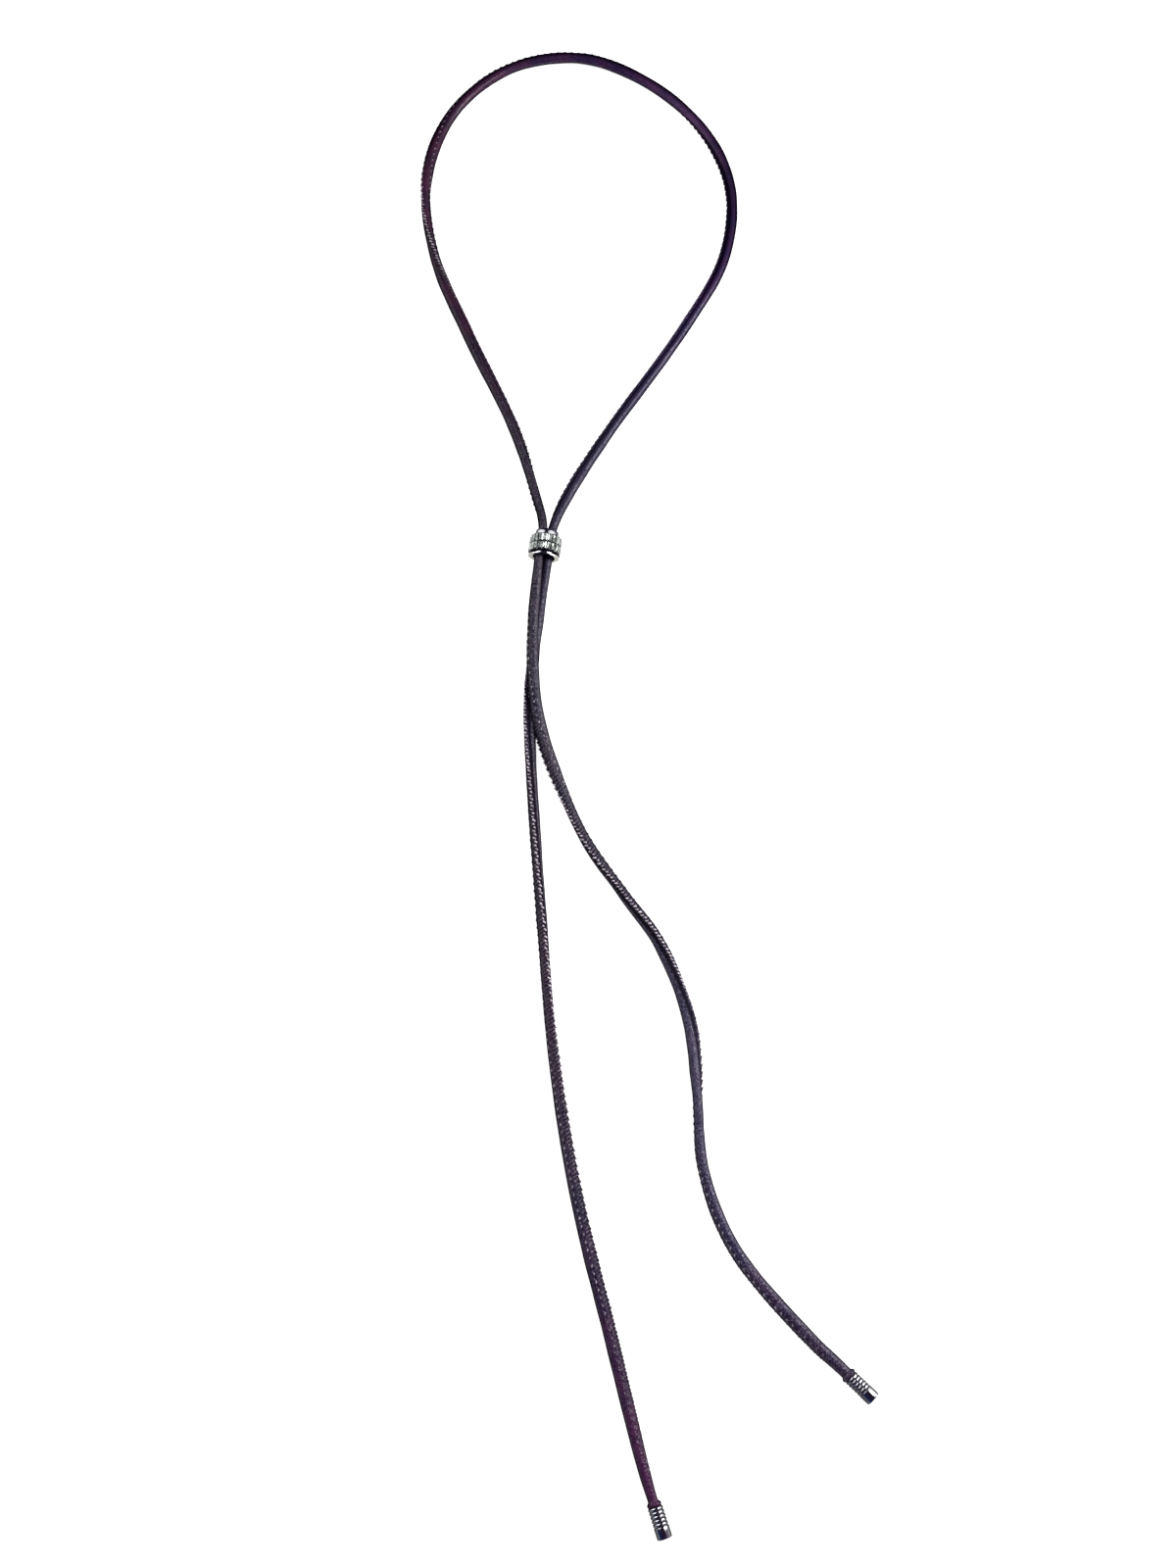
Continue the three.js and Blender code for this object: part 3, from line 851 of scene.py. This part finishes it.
def polished_steel_shaded_below():
    """Polished stainless steel with painted shade on its underside: bright tops, dark outlines."""
    material, tree, place = new_material("polished_steel_painted_shade")
    haze = add_node(tree, "TexNoise", {"Vector": place, "Scale": 1 / BUFFING_HAZE, "Detail": 3.0})
    rough = add_node(tree, "MapRange", {"Value": haze, FROM: 0.3, TO: 0.7, LOW: 0.08, HIGH: 0.16})
    tone = add_node(tree, "ValToRGB", {"Fac": haze})
    tone.color_ramp.elements[0].color = linear("#c4c5cb")
    tone.color_ramp.elements[1].color = linear("#dcdde0")
    # Painted shade starts where the surface turns about 45 degrees away from the top: there it is painted
    # nearly black and is not metallic.
    facing = add_node(tree, "NewGeometry").outputs["Normal"]
    upward = add_node(tree, "SeparateXYZ", {"Vector": facing}).outputs["Z"]
    clear_of_shade = add_node(tree, "MapRange", {"Value": upward, FROM: 0.6, TO: 0.8})
    colour = add_node(
        tree, "Mix", {SHARE: clear_of_shade, FIRST: linear("#1a161f"), SECOND: tone}, data_type="RGBA"
    ).outputs[MIXED]
    bump = add_node(tree, "Bump", {"Height": haze, "Strength": 0.12, "Distance": 0.03 * MM})
    shader = add_node(tree, "BsdfPrincipled", {
        "Base Color": colour, "Normal": bump, "Metallic": clear_of_shade, "Roughness": rough,
        "Specular IOR Level": 0.1,
    })
    add_node(tree, "OutputMaterial", {"Surface": shader})
    return material


def satin_steel():
    """Bead-blasted stainless steel: a soft warm grey that mirrors nothing."""
    material, tree, place = new_material("blasted_stainless_steel")
    grit = add_node(tree, "TexNoise", {"Vector": place, "Scale": 1 / BLASTED_GRIT, "Detail": 2.0})
    tone = add_node(tree, "ValToRGB", {"Fac": grit})
    tone.color_ramp.elements[0].color = linear("#9c9a92")
    tone.color_ramp.elements[1].color = linear("#b8b6af")
    bump = add_node(tree, "Bump", {"Height": grit, "Strength": 0.3, "Distance": 0.05 * MM})
    shader = add_node(
        tree, "BsdfPrincipled", {"Base Color": tone, "Normal": bump, "Metallic": 1, "Roughness": 0.5}
    )
    add_node(tree, "OutputMaterial", {"Surface": shader})
    return material


def dark_steel_and_shade():
    """Nearly black steel with a plum cast in the bore and the grooves: blackened where polishing doesn't
    reach, and painted shade.
    """
    material, tree, place = new_material("blackened_steel_and_painted_shade")
    grime = add_node(tree, "TexNoise", {"Vector": place, "Scale": 1 / GROOVE_GRIME, "Detail": 2.0})
    tone = add_node(tree, "ValToRGB", {"Fac": grime})
    tone.color_ramp.elements[0].color = linear("#17121c")
    tone.color_ramp.elements[1].color = linear("#3a3342")
    shader = add_node(tree, "BsdfPrincipled", {"Base Color": tone, "Metallic": 1, "Roughness": 0.35})
    add_node(tree, "OutputMaterial", {"Surface": shader})
    return material


STONE_FLASH = 1.2 * MM  # about one tone to a stone


def foiled_crystal():
    """Cut lead crystal with a silvered back: each facet mirrors its own part of the room."""
    material, tree, place = new_material("foil_backed_crystal")
    flash = add_node(tree, "TexNoise", {"Vector": place, "Scale": 1 / STONE_FLASH, "Detail": 0.0})
    tone = add_node(tree, "ValToRGB", {"Fac": flash})
    tone.color_ramp.elements[0].position = 0.35
    tone.color_ramp.elements[0].color = linear("#70766f")
    tone.color_ramp.elements[1].position = 0.65
    tone.color_ramp.elements[1].color = linear("#9ea3a0")
    shader = add_node(tree, "BsdfPrincipled", {
        "Base Color": tone, "Metallic": 0.7, "Roughness": 0.2, "Coat Weight": 0.3, "Coat Roughness": 0.02,
    })
    add_node(tree, "OutputMaterial", {"Surface": shader})
    return material


PAPER_FIBRE = 50 * MM  # clouds in the paper, drawn this coarse to show at all


def white_paper():
    """Smooth white backdrop paper that glows a little, as if lit from below, so shadows on it are faint."""
    material, tree, place = new_material("backdrop_paper")
    fibre = add_node(tree, "TexNoise", {"Vector": place, "Scale": 1 / PAPER_FIBRE, "Detail": 1.0})
    tone = add_node(tree, "ValToRGB", {"Fac": fibre})
    tone.color_ramp.elements[0].color = linear("#f6f6f6")
    tone.color_ramp.elements[1].color = linear("#fafafa")
    shader = add_node(tree, "BsdfPrincipled", {
        "Base Color": tone, "Roughness": 0.8, "Emission Color": (1, 1, 1, 1), "Emission Strength": 0.9,
    })
    add_node(tree, "OutputMaterial", {"Surface": shader})
    return material


# ---------------------------------------------------------------- floor and light


def build_floor(material):
    bm = bmesh.new()
    bmesh.ops.create_grid(bm, x_segments=1, y_segments=1, size=4)
    floor = bpy.data.objects.new("floor", mesh_from(bm, "floor"))
    bpy.context.scene.collection.objects.link(floor)
    floor.data.materials.append(material)


def softbox(name, place, size, power):
    """A rectangular light that faces the middle of the necklace."""
    data = bpy.data.lights.new(name, "AREA")
    data.shape = "RECTANGLE"
    data.size, data.size_y = size
    data.energy = power
    light = bpy.data.objects.new(name, data)
    light.location = place
    light.rotation_euler = (-Vector(place)).to_track_quat("-Z", "Y").to_euler()
    bpy.context.scene.collection.objects.link(light)


def light_the_room():
    """Two broad white screens behind the necklace, left and right of a dark gap, in a dark room.

    The room is plum overhead, navy low in the west, and has a grey wall low in the east.
    """
    world = bpy.data.worlds.new("studio")
    world.use_nodes = True
    tree = world.node_tree
    tree.nodes.clear()
    direction = add_node(tree, "TexCoord").outputs["Generated"]
    east, north, up = add_node(tree, "SeparateXYZ", {"Vector": direction}).outputs
    low = add_node(tree, "MapRange", {"Value": up, FROM: 0.9, TO: 0.72})
    colour = linear("#20152a")
    for start, end, wall in ((0.0, -0.3, "#1c2648"), (0.3, 0.6, "#6a6272")):
        there = add_node(tree, "MapRange", {"Value": east, FROM: start, TO: end})
        share = add_node(tree, "Math", {0: low, 1: there}, operation="MULTIPLY")
        mix = add_node(tree, "Mix", {SHARE: share, FIRST: colour, SECOND: linear(wall)}, data_type="RGBA")
        colour = mix.outputs[MIXED]

    # The screens stand in the north, outside the gap and short of the east end.
    gap = add_node(tree, "Math", {0: north, 1: 0.38}, operation="MULTIPLY")
    aside = add_node(tree, "Math", {0: east}, operation="ABSOLUTE")
    past_gap = add_node(tree, "Math", {0: aside, 1: gap}, operation="SUBTRACT")
    east_end = add_node(tree, "Math", {0: north, 1: 2.6}, operation="MULTIPLY")
    before_end = add_node(tree, "Math", {0: east_end, 1: east}, operation="SUBTRACT")
    screens = low
    for value, soft_edge in ((north, 0.12), (past_gap, 0.1), (before_end, 0.1)):
        inside = add_node(tree, "MapRange", {"Value": value, FROM: 0.0, TO: soft_edge})
        screens = add_node(tree, "Math", {0: screens, 1: inside}, operation="MULTIPLY")
    white = linear("#ffffff")
    mix = add_node(tree, "Mix", {SHARE: screens, FIRST: colour, SECOND: white}, data_type="RGBA")
    background = add_node(tree, "Background", {"Color": mix.outputs[MIXED], "Strength": 1.3})
    add_node(tree, "OutputWorld", {"Surface": background})
    bpy.context.scene.world = world
    softbox("softbox_right", (0.57, 0.15, 0.42), (0.18, 0.5), 5.5)
    softbox("softbox_left", (-0.6, 0.25, 0.38), (0.35, 0.6), 1.2)
    bpy.context.scene.view_settings.view_transform = "Standard"


# ---------------------------------------------------------------- the necklace

place_camera()
cord_line = CordLine()
cord_skin = CordSkin(cord_line)
cord = build_cord(cord_skin, goat_leather(cord_line.length))
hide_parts("leather_cord")
# Painted light: the thread over the free edge gets the brighter, lit colours, and the thread at the holes
# the darker, shaded ones.
edge_thread = waxed_thread("waxed_thread_on_the_edge", "#8a7a8c", "#f4eaf0")
row_thread = waxed_thread("waxed_thread_at_the_holes", "#5a4e60", "#b4a8b4")
stitches = build_stitches(cord_skin, edge_thread, row_thread)

steel = polished_steel_shaded_below()
dark_finish_and_shade = dark_steel_and_shade()
build_slider_body(steel, dark_finish_and_shade)
build_slider_flange(satin_steel(), steel)
build_slider_stones(foiled_crystal())
build_slider_prongs(steel)
build_cap("left_ribbed_cap", "left_end_cap", CORD_ROUTE[0], CORD_ROUTE[1], steel, dark_finish_and_shade)
build_cap("right_ribbed_cap", "right_end_cap", CORD_ROUTE[-1], CORD_ROUTE[-2], steel, dark_finish_and_shade)

build_floor(white_paper())
light_the_room()
